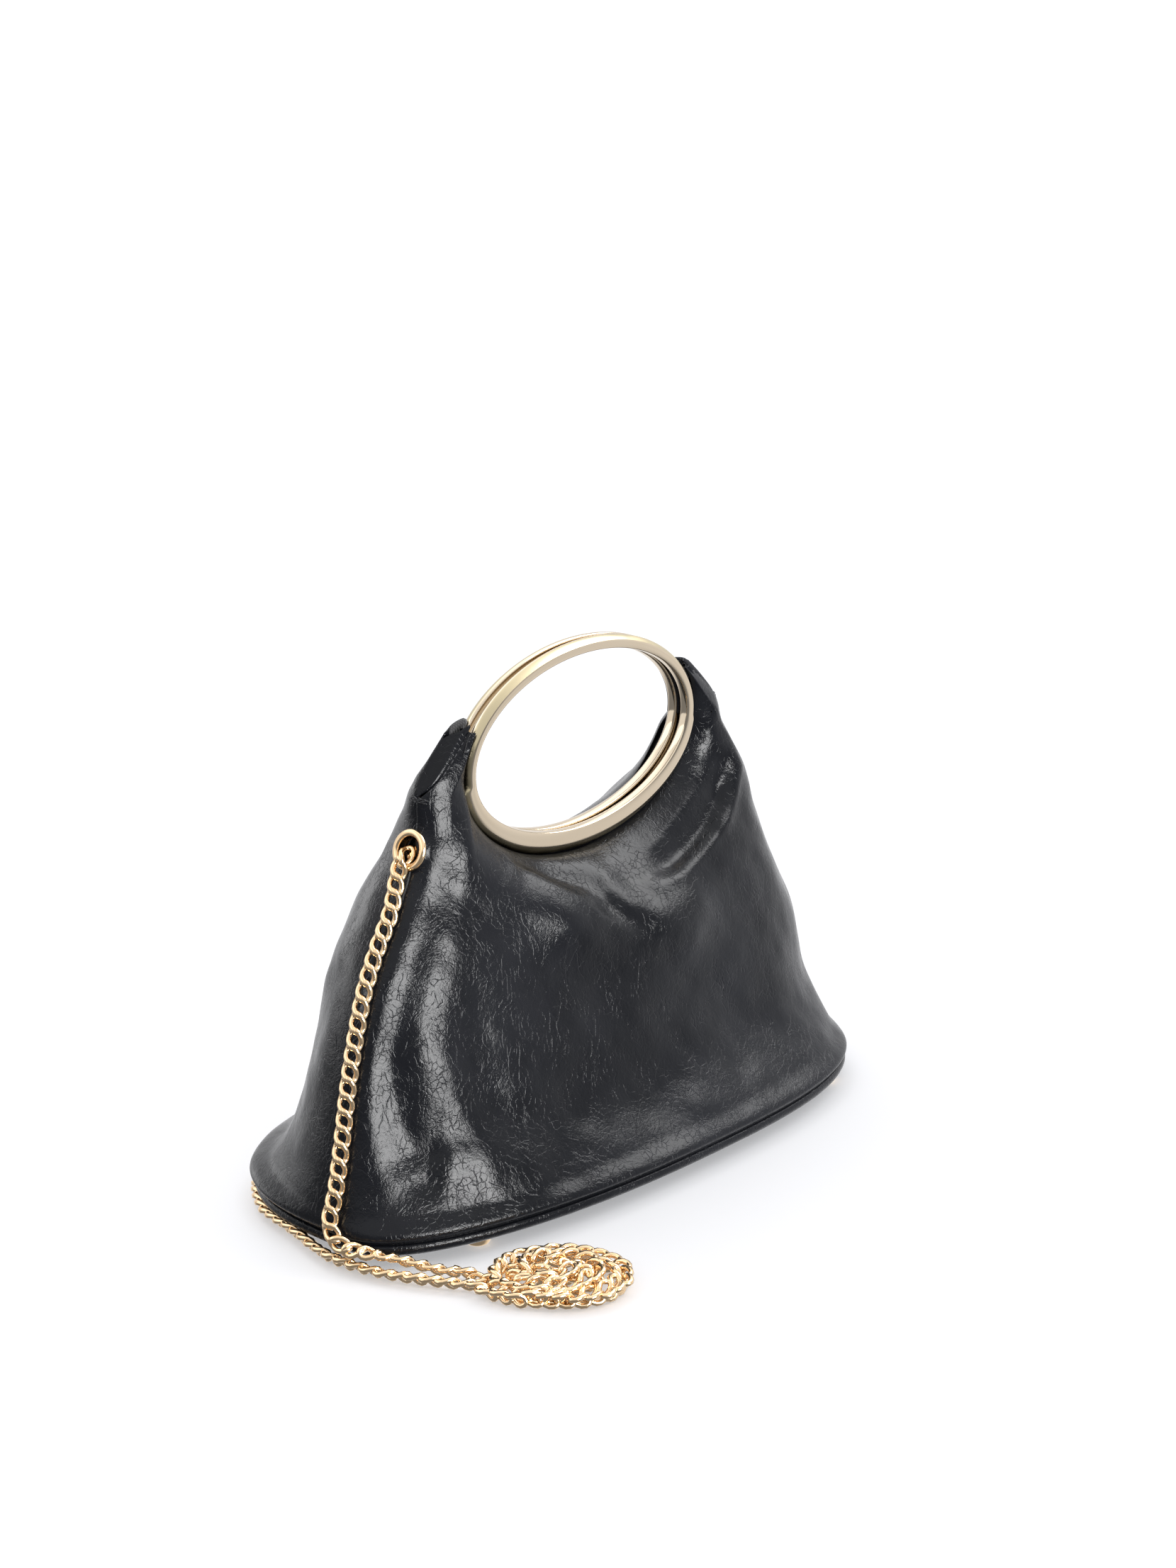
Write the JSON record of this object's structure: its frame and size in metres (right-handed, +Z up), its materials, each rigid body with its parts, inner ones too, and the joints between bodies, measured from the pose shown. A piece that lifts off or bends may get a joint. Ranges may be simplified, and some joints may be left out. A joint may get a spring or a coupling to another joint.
{
  "type": "top handle clutch",
  "caption": "Soft black leather clutch that narrows to a pair of oval metal ring handles, on small metal feet, with a curb chain lying coiled beside it.",
  "frame": {"origin": "middle of the object's box, on the surface that it stands on", "axes": "+Z up; +X along the bag's length, to the right seen from its front; the front faces -Y"},
  "size_m": [0.242, 0.1566, 0.1647],
  "materials": {
    "leather": "glossy crinkled",
    "ring_metal": "polished pale gold",
    "chain_metal": "polished warm gold"
  },
  "bodies": {
    "root": {"front_panel": "leather", "back_panel": "leather", "base_panel": "leather", "ring_front": "ring_metal", "ring_back": "ring_metal", "eyelet_left": "chain_metal", "eyelet_right": "chain_metal", "foot_front_left": "chain_metal", "foot_front_right": "chain_metal", "foot_back_left": "chain_metal", "foot_back_right": "chain_metal", "chain_left": "chain_metal", "chain_right": "chain_metal", "chain_coil": "chain_metal"}
  },
  "joints": []
}
